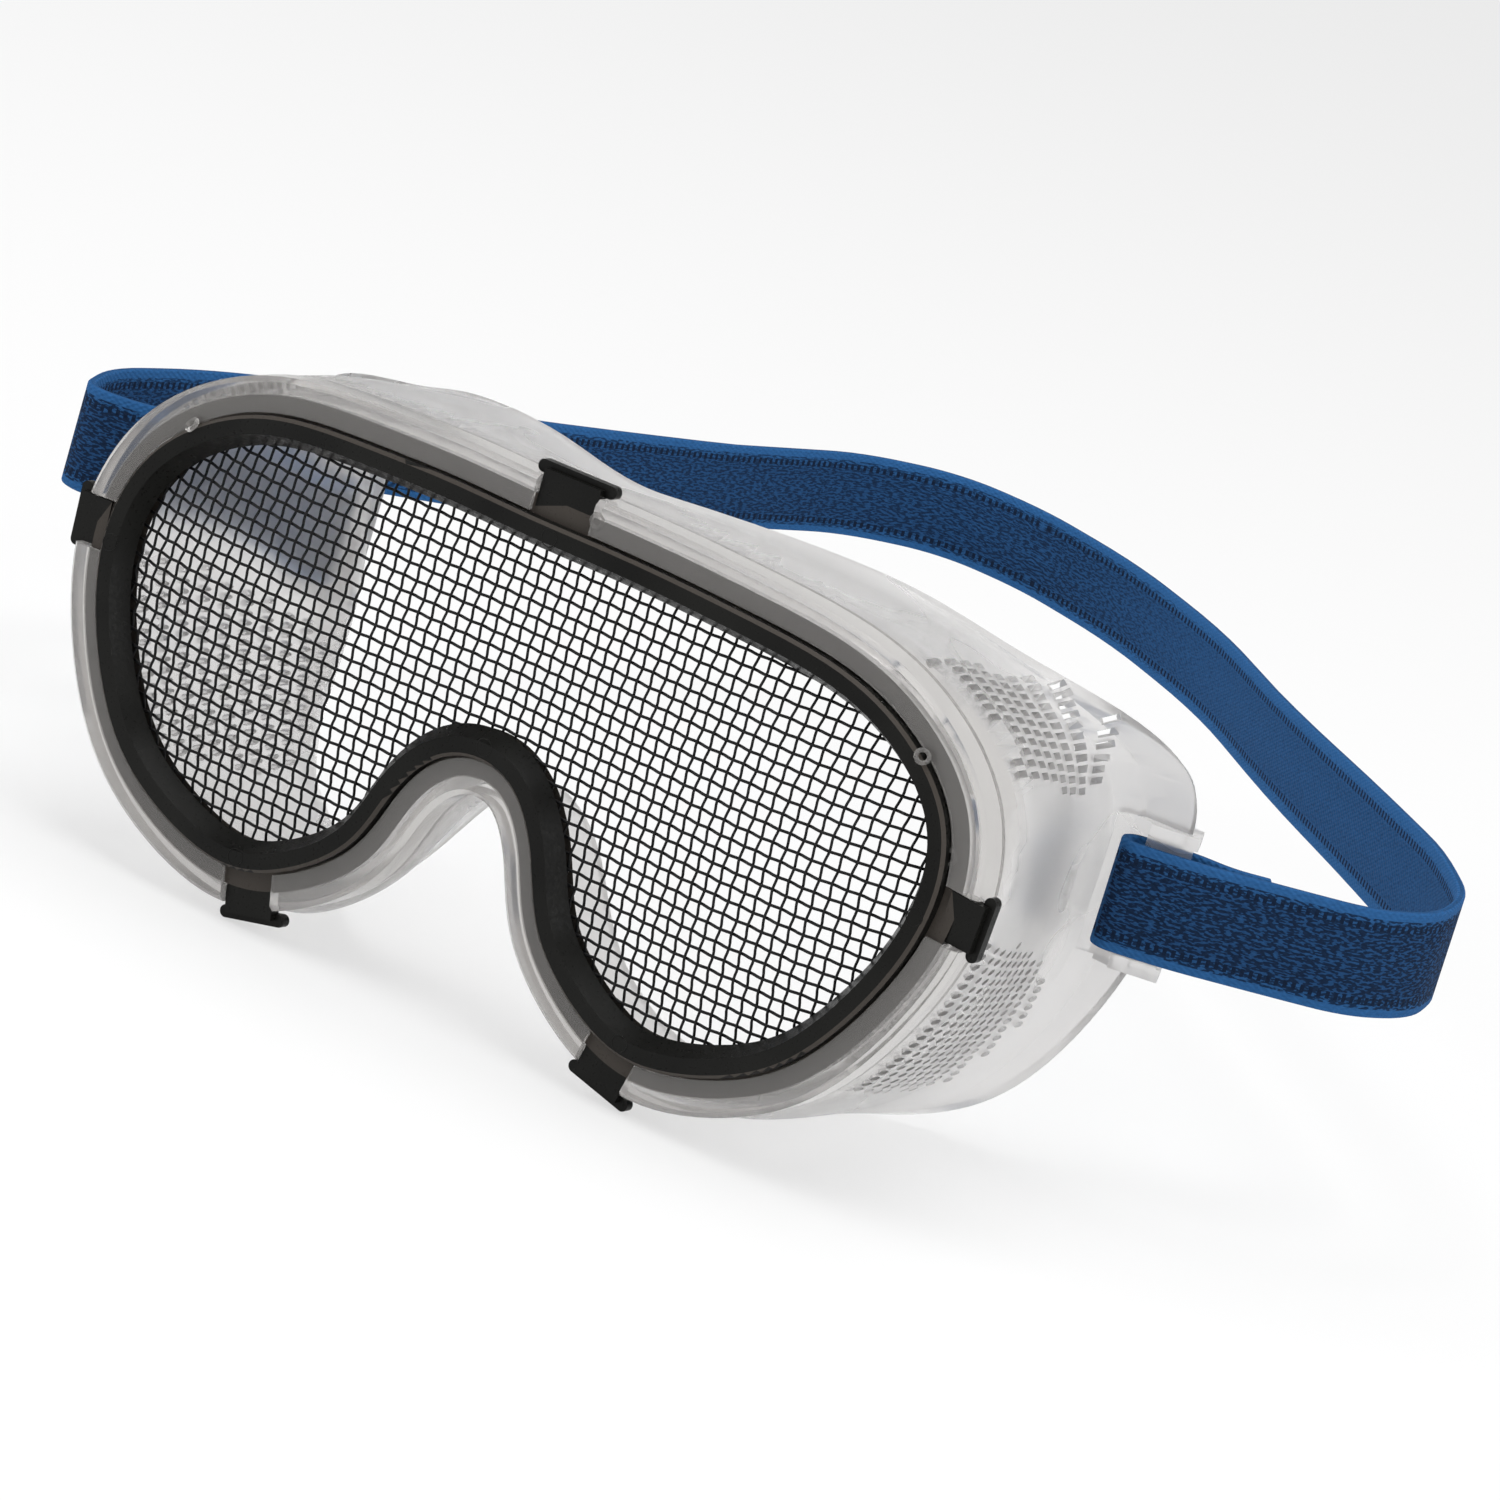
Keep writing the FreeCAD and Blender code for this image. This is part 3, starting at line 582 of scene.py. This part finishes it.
def mark_flange(mesh, seed_place, reach):
    shape = bmesh.new()
    shape.from_mesh(mesh)
    number = shape.faces.layers.int.new("number")
    for face in shape.faces:
        face[number] = face.index
    bmesh.ops.remove_doubles(shape, verts=shape.verts, dist=WELD_DISTANCE)
    forward = [face for face in shape.faces if face.normal.y < FORWARD]
    seed = min(forward, key=lambda face: (face.calc_center_median() - seed_place).length)
    front, edge_faces = {seed}, [seed]
    while edge_faces:
        for edge in edge_faces.pop().edges:
            for other in edge.link_faces:
                if other in front or len(edge.link_faces) != 2:
                    continue
                if edge.calc_face_angle() < SMOOTH_RUN:
                    front.add(other)
                    edge_faces.append(other)
    ring_places = {vertex for face in front if face.normal.y < FORWARD for vertex in face.verts}
    near = KDTree(len(ring_places))
    for i, vertex in enumerate(ring_places):
        near.insert((vertex.co.x, 0, vertex.co.z), i)
    near.balance()
    values = [0.0] * len(mesh.polygons)
    for face in forward:
        # the hooks' necks reach further out than the flange and stay black
        furthest = max(near.find((vertex.co.x, 0, vertex.co.z))[2] for vertex in face.verts)
        if face not in front and furthest < reach:
            values[face[number]] = 1.0
    shape.free()
    marked = mesh.attributes.new("flange", "FLOAT", "FACE")
    marked.data.foreach_set("value", values)
    return int(sum(values)), len(front)


brow_front = Vector((0.0168, mesh_depth(0.0168, 0.030) - 0.0040 - BROW_SETBACK, 0.0329))
print("flange faces, ring front faces:",
      mark_flange(frame_object.data, brow_front, FLANGE_REACH))
weld = frame_object.modifiers.new("merge_doubles", "WELD")
weld.merge_threshold = WELD_DISTANCE
crease = frame_object.modifiers.new("sharp_edges", "EDGE_SPLIT")
crease.split_angle = SHARP_ANGLE

# %% [markdown]
# ## Small moulded rings
# Clear ring-shaped pips stand on the flange beside the lip, and the ejector pins of the mould
# left faint circles on the ring's front. Both are small rings, set on the frame by a ray
# from the front.
# %% Pips and ejector marks
PIP_PLACES = [(0.0655, 0.0248), (0.0739, 0.0131), (-0.0655, 0.0248), (-0.0739, 0.0131),
              (0.0058, 0.0372)]
MARK_PLACES = [(0.0, 0.0325), (0.0, 0.0006), (0.0352, -0.0306), (-0.0352, -0.0306),
               (0.0728, 0.004), (-0.0728, 0.004)]
ROUND_STEPS = 24
TUBE_STEPS = 8


def small_rings(piece_name, tree, places, radius, half_width, half_height, lift):
    shape = bmesh.new()
    for x, z in places:
        place, square = tree.ray_cast(Vector((x, -0.1, z)), Vector((0, 1, 0)))[:2]
        side = square.cross(Vector((0, 0, 1))).normalized()
        up = side.cross(square)
        loops = []
        for i in range(ROUND_STEPS):
            turn = 2 * math.pi * i / ROUND_STEPS
            out = side * math.cos(turn) + up * math.sin(turn)
            loop = []
            for k in range(TUBE_STEPS):
                bend = 2 * math.pi * k / TUBE_STEPS
                loop.append(shape.verts.new(
                    place + out * (radius + half_width * math.cos(bend))
                    + square * (lift + half_height * math.sin(bend))))
            loops.append(loop)
        for i, loop in enumerate(loops):
            following = loops[(i + 1) % ROUND_STEPS]
            for k in range(TUBE_STEPS):
                near = (k + 1) % TUBE_STEPS
                shape.faces.new((loop[k], following[k], following[near], loop[near]))
    bmesh.ops.recalc_face_normals(shape, faces=shape.faces)
    mesh = bpy.data.meshes.new(piece_name)
    shape.to_mesh(mesh)
    shape.free()
    mesh.shade_smooth()
    piece = bpy.data.objects.new(piece_name, mesh)
    bpy.context.scene.collection.objects.link(piece)
    return piece


shape = bmesh.new()
shape.from_mesh(frame_object.data)
frame_tree = BVHTree.FromBMesh(shape)
shape.free()
lip_pips = small_rings("lip_pips", frame_tree, PIP_PLACES, radius=0.00095, half_width=0.00035,
                       half_height=0.0004, lift=0.00045)
fit_out(lip_pips, "root", clear_vinyl, "clear_vinyl")
ejector_marks = small_rings("ejector_marks", frame_tree, MARK_PLACES, radius=0.0013,
                            half_width=0.00009, half_height=0.00005, lift=0.0)
fit_out(ejector_marks, "root", black_plastic, "black_plastic")

# %% [markdown]
# ## The woven mesh
# Real mesh is crimped: each wire goes over one cross wire and under the next. The CAD model
# has the same wires laid straight in two layers, so their ends give each wire's place. Here
# every wire becomes a spline with one control point at each crossing, pushed to the front or
# to the back in turn, and a round bevel gives it thickness.
# %% Woven wires
PITCH = 0.0021
WIRE_RADIUS = 0.00023
CRIMP = 0.00045


def wire_boxes(node_name):
    """Lowest and highest corner of each separate wire of a node."""
    shape = bmesh.new()
    shape.from_mesh(nodes[node_name].data)
    bmesh.ops.remove_doubles(shape, verts=shape.verts, dist=WELD_DISTANCE)
    left = set(shape.verts)
    boxes = []
    while left:
        seed = left.pop()
        found, waiting = [seed], [seed]
        while waiting:
            here = waiting.pop()
            for link in here.link_edges:
                other = link.other_vert(here)
                if other in left:
                    left.remove(other)
                    found.append(other)
                    waiting.append(other)
        low = [min(v.co[k] for v in found) for k in range(3)]
        high = [max(v.co[k] for v in found) for k in range(3)]
        boxes.append((low, high))
    shape.free()
    return sorted(boxes)


def woven(piece_name, node_name, along):
    """Crimped wires: along is 2 for upright wires and 0 for crosswise ones."""
    curve = bpy.data.curves.new(piece_name, "CURVE")
    curve.dimensions = "3D"
    curve.bevel_depth = WIRE_RADIUS
    curve.bevel_resolution = 1
    curve.resolution_u = 3
    curve.use_fill_caps = True
    aside = 2 - along
    for low, high in wire_boxes(node_name):
        line = (low[aside] + high[aside]) / 2
        line_index = round((line - (0 if along == 2 else PITCH / 2)) / PITCH)
        start, end = low[along], high[along]
        offset = PITCH / 2 if along == 2 else 0
        first = math.ceil((start - offset) / PITCH)
        last = math.floor((end - offset) / PITCH)
        stops = [(start, 0)]
        for i in range(first, last + 1):
            sign = 1 if (i + line_index) % 2 == 0 else -1
            stops.append((offset + i * PITCH, sign if along == 2 else -sign))
        stops.append((end, 0))
        spline = curve.splines.new("NURBS")
        spline.points.add(len(stops) - 1)
        for point, (at, side) in zip(spline.points, stops):
            x, z = (line, at) if along == 2 else (at, line)
            point.co = (x, mesh_depth(x, z) - BROW_SETBACK + side * CRIMP, z, 1)
        spline.order_u = 3
        spline.use_endpoint_u = True
    piece = bpy.data.objects.new(piece_name, curve)
    bpy.context.scene.collection.objects.link(piece)
    return piece


upright_wires = fit_out(woven("upright_wires", "mesh_warp_wires", 2),
                        "root", black_wire, "black_wire", "mesh_warp_wires")
cross_wires = fit_out(woven("cross_wires", "mesh_weft_wires", 0),
                      "root", black_wire, "black_wire", "mesh_weft_wires")
print("wires:", len(upright_wires.data.splines), "upright,", len(cross_wires.data.splines), "across")

# %% [markdown]
# ## The elastic strap
# The strap is a flat band, so it starts from the CAD band. Its flat faces are joined up, its
# long edges rounded, and a UV map measures the distance along it.
# %% Strap
STRAP_LEVEL = 0.0031
STRAP_MIDDLE = Vector((0, 0.08, STRAP_LEVEL))
SAME_LEVEL = 1e-4
# flecks fade in on the inner face over this run to the left, up to this share
FLECK_START, FLECK_RUN, INNER_FLECKS = 0.010, 0.045, 0.75
# the run behind the head hangs a little lower and is a little narrower
BACK_START, BACK_RUN, BACK_DROP, BACK_NARROWING = 0.095, 0.06, 0.0012, 0.13


def lower_outline(shape):
    """The vertices of the band's lower outline, in the order of a walk round it."""
    low = STRAP_LEVEL - STRAP_WIDTH / 2
    ring = [v for v in shape.verts if abs(v.co.z - low) < SAME_LEVEL]
    start = ring[0]
    order, here, before = [start], start, None
    while True:
        step = [e.other_vert(here) for e in here.link_edges
                if abs(e.other_vert(here).co.z - low) < SAME_LEVEL
                and e.other_vert(here) is not before]
        if not step or step[0] is start:
            break
        before, here = here, step[0]
        order.append(here)
    print("outline points:", len(order), "of", len(ring))
    return order


def cap_corners(order):
    """The sharp corners of the outline: its short straight caps are the ends of the band."""
    corners = []
    count = len(order)
    for i in range(count):
        a = (order[i].co - order[i - 1].co).normalized()
        b = (order[(i + 1) % count].co - order[i].co).normalized()
        if a.dot(b) < 0.3:
            corners.append(i)
    return corners


def runs_along(order):
    """Distance from the band's first end at each place of the outline."""
    walked, total = [0.0], 0.0
    for one, two in zip(order, order[1:] + order[:1]):
        total += (two.co - one.co).length
        walked.append(total)
    corners = cap_corners(order)
    print("cap corners:", corners, "walk", round(total, 4))
    one_end = (walked[corners[0]] + walked[corners[1]]) / 2 if len(corners) >= 2 else 0
    places = {}
    for i, vertex in enumerate(order):
        run = (walked[i] - one_end) % total
        places[(round(vertex.co.x, 6), round(vertex.co.y, 6))] = min(run, total - run)
    return places


def lay_uv(shape, places, level_of):
    layer = shape.loops.layers.uv.new("strap_uv")
    known = sorted(places)
    tree = KDTree(len(known))
    for i, (x, y) in enumerate(known):
        tree.insert((x, y, 0), i)
    tree.balance()
    for face in shape.faces:
        for loop in face.loops:
            co = loop.vert.co
            _, i, _ = tree.find((co.x, co.y, 0))
            loop[layer].uv = (places[known[i]], level_of[loop.vert])


def strap_piece():
    mesh = nodes["head_strap"].data.copy()
    mesh.name = "elastic_strap"
    mesh.materials.clear()
    shape = bmesh.new()
    shape.from_mesh(mesh)
    bmesh.ops.remove_doubles(shape, verts=shape.verts, dist=WELD_DISTANCE)
    flat = [f for f in shape.faces if abs(f.normal.z) > 0.9]
    bmesh.ops.dissolve_faces(shape, faces=flat)
    sides = [f for f in shape.faces if abs(f.normal.z) < 0.5]
    bmesh.ops.join_triangles(shape, faces=sides, angle_face_threshold=0.1,
                             angle_shape_threshold=3.2)
    rim = [e for e in shape.edges if abs(e.verts[0].co.z - e.verts[1].co.z) < 1e-5]
    places = runs_along(lower_outline(shape))
    fleck_mark = shape.faces.layers.float.new("flecked")
    for face in shape.faces:
        middle = face.calc_center_median()
        outside = face.normal.dot(middle - STRAP_MIDDLE) > 0
        fade = min(max((FLECK_START - middle.x) / FLECK_RUN, 0.0), 1.0)
        face[fleck_mark] = 1.0 if outside else INNER_FLECKS * fade
    bmesh.ops.bevel(shape, geom=rim, offset=0.00035, segments=2, profile=0.5, affect="EDGES",
                    material=-1, clamp_overlap=True)
    level_of = {vertex: vertex.co.z - STRAP_LEVEL for vertex in shape.verts}
    for vertex, level in level_of.items():
        far = min(max((vertex.co.y - BACK_START) / BACK_RUN, 0), 1)
        vertex.co.z += far * (-BACK_DROP - level * BACK_NARROWING)
    lay_uv(shape, places, level_of)
    bmesh.ops.triangulate(shape, faces=[f for f in shape.faces if len(f.verts) > 4])
    shape.to_mesh(mesh)
    shape.free()
    mesh.shade_smooth()
    mesh.set_sharp_from_angle(angle=math.radians(50))
    piece = bpy.data.objects.new("elastic_strap", mesh)
    bpy.context.scene.collection.objects.link(piece)
    return piece


fit_out(strap_piece(), "strap", blue_webbing, "blue_webbing", "head_strap")

# %% [markdown]
# ## Floor and light
# A pale floor carries the soft shadow. The camera, reflections and what is seen through the
# vinyl all meet a white surround, while the lamps stay at a plain level.
# %% Floor
floor_mesh = bpy.data.meshes.new("floor")
floor_shape = bmesh.new()
bmesh.ops.create_grid(floor_shape, x_segments=1, y_segments=1, size=6.0,
                      matrix=Matrix.Translation((0, 2.0, cad_low.z - 0.0002)))
floor_shape.to_mesh(floor_mesh)
floor_shape.free()
floor = bpy.data.objects.new("floor", floor_mesh)
bpy.context.scene.collection.objects.link(floor)
pale_floor, tree, shader = new_material("pale_floor")
set_inputs(shader, Base_Color=(0.86, 0.86, 0.86, 1), Roughness=0.9, Specular_IOR_Level=0.1)
rays = add_node(tree, "ShaderNodeLightPath")
seen = add_node(tree, "ShaderNodeMath", {"operation": "MAXIMUM"}, i0=rays.outputs["Is Camera Ray"],
                i1=rays.outputs["Is Glossy Ray"])
seen = add_node(tree, "ShaderNodeMath", {"operation": "MAXIMUM"}, i0=seen.outputs[0],
                i1=rays.outputs["Is Transmission Ray"])
share = add_node(tree, "ShaderNodeMath", {"operation": "MULTIPLY"}, i0=seen.outputs[0], i1=0.62)
glow = add_node(tree, "ShaderNodeEmission", None, Color=(0.955, 0.955, 0.955, 1), Strength=1.0)
blend = add_node(tree, "ShaderNodeMixShader", None, i0=share.outputs[0], i1=shader.outputs[0],
                 i2=glow.outputs[0])
tree.links.new(blend.outputs[0], tree.nodes["Material Output"].inputs["Surface"])
floor_mesh.materials.append(pale_floor)

# %% World and lamps
world = bpy.data.worlds.new("studio")
bpy.context.scene.world = world
world.use_nodes = True
tree = world.node_tree
background = tree.nodes["Background"]
rays = add_node(tree, "ShaderNodeLightPath")
seen = add_node(tree, "ShaderNodeMath", {"operation": "MAXIMUM"}, i0=rays.outputs["Is Camera Ray"],
                i1=rays.outputs["Is Transmission Ray"])
power = add_node(tree, "ShaderNodeMapRange", None, Value=seen.outputs[0])
power.inputs["To Min"].default_value = 0.55
power.inputs["To Max"].default_value = 1.0
tree.links.new(power.outputs["Result"], background.inputs["Strength"])
background.inputs["Color"].default_value = (1, 1, 1, 1)


def soft_lamp(name, place, aim, size_x, size_y, watts):
    data = bpy.data.lights.new(name, "AREA")
    data.shape = "RECTANGLE"
    data.size, data.size_y = size_x, size_y
    data.energy = watts
    lamp = bpy.data.objects.new(name, data)
    lamp.location = place
    lamp.rotation_euler = (Vector(aim) - Vector(place)).to_track_quat("-Z", "Y").to_euler()
    bpy.context.scene.collection.objects.link(lamp)


soft_lamp("top_softbox", (0.1, 0.0, 1.1), aim=(0, 0.03, 0), size_x=1.0, size_y=0.9, watts=9.0)
soft_lamp("left_softbox", (-0.9, -0.7, 0.6), aim=(0, 0, 0), size_x=0.7, size_y=0.7, watts=5.0)
soft_lamp("right_softbox", (1.1, -0.3, 0.5), aim=(0, 0.03, 0), size_x=0.6, size_y=0.8, watts=4.0)
bpy.context.scene.view_settings.view_transform = "Standard"
